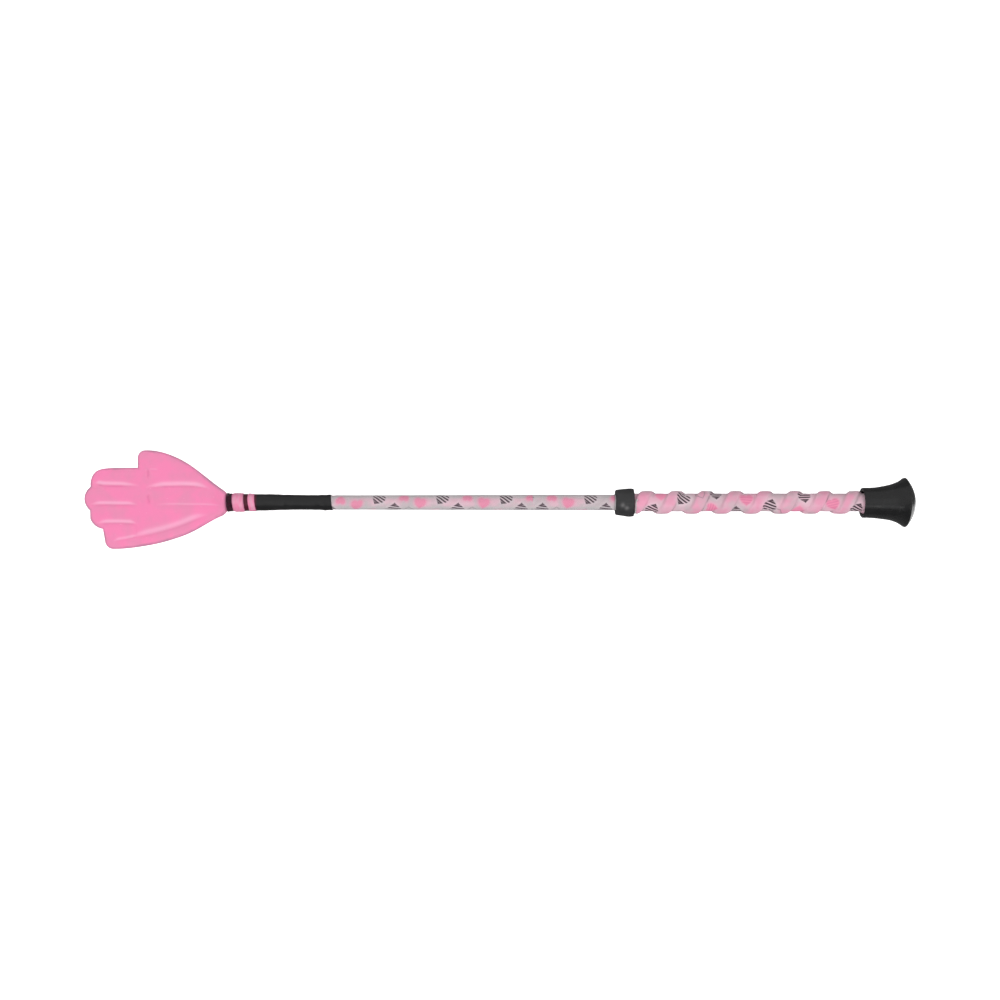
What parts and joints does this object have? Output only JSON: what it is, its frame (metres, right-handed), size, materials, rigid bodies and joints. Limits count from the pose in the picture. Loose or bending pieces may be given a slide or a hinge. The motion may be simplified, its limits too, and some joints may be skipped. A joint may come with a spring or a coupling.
{
  "type": "riding crop",
  "caption": "Short riding crop: a soft hand-shaped slapper on a bound neck, a slim filmed shaft, a rubber collar, a spiral-ribbed grip and a flared mushroom butt cap.",
  "frame": {"origin": "on the shaft's axis at the front face of the grip's collar, where a rack clip locates", "axes": "+X along the shaft towards the butt cap, +Y towards the thumb of the hand, +Z out of the hand's palm side"},
  "size_m": [0.608, 0.0723, 0.0364],
  "materials": {
    "glass_fibre": "drawn glass-fibre rod and strip, slightly ribbed",
    "white_plastic": "smooth drawn tube",
    "printed_film": "pale grey-pink film printed with small tilted hearts and striped hearts, glossy",
    "clear_film": "clear shrink film",
    "dark_plastic": "moulded",
    "shrink_sleeve": "black heat-shrink sleeve with soft wrinkles",
    "thread": "dark wine-black twisted thread, tightly wound",
    "pink_band": "soft vinyl, satin",
    "pink_rubber": "soft moulded vinyl, satin, with moulded lines",
    "felt": "pressed felt sheet",
    "grip_foam": "firm foam rubber",
    "black_rubber": "moulded rubber, satin",
    "plug_wood": "turned hardwood",
    "nail_steel": "plain steel nail"
  },
  "bodies": {
    "crop": {"core_rod": "glass_fibre", "shaft_tube": "white_plastic", "shaft_print_film": "printed_film", "shaft_clear_film": "clear_film", "tip_ferrule": "dark_plastic", "tip_sleeve": "shrink_sleeve", "neck_whipping": "thread", "wide_band": "pink_band", "narrow_band": "pink_band", "tongue": "glass_fibre", "grip_tube": "grip_foam", "grip_cord": "grip_foam", "grip_film": "printed_film", "collar": "black_rubber", "butt_cap": "black_rubber", "butt_plug": "plug_wood", "cap_nail": "nail_steel"},
    "hand": {"hand_front": "pink_rubber", "hand_back": "pink_rubber", "hand_core": "felt"}
  },
  "joints": [
    {"name": "hand_flex", "type": "hinge", "parent": "crop", "child": "hand", "pos_m": [-0.287, 0, 0], "axis": [0, 1, 0], "range_deg": [-45, 45], "stiffness_Nm_per_rad": 0.35, "deforming": ["tongue"]}
  ]
}
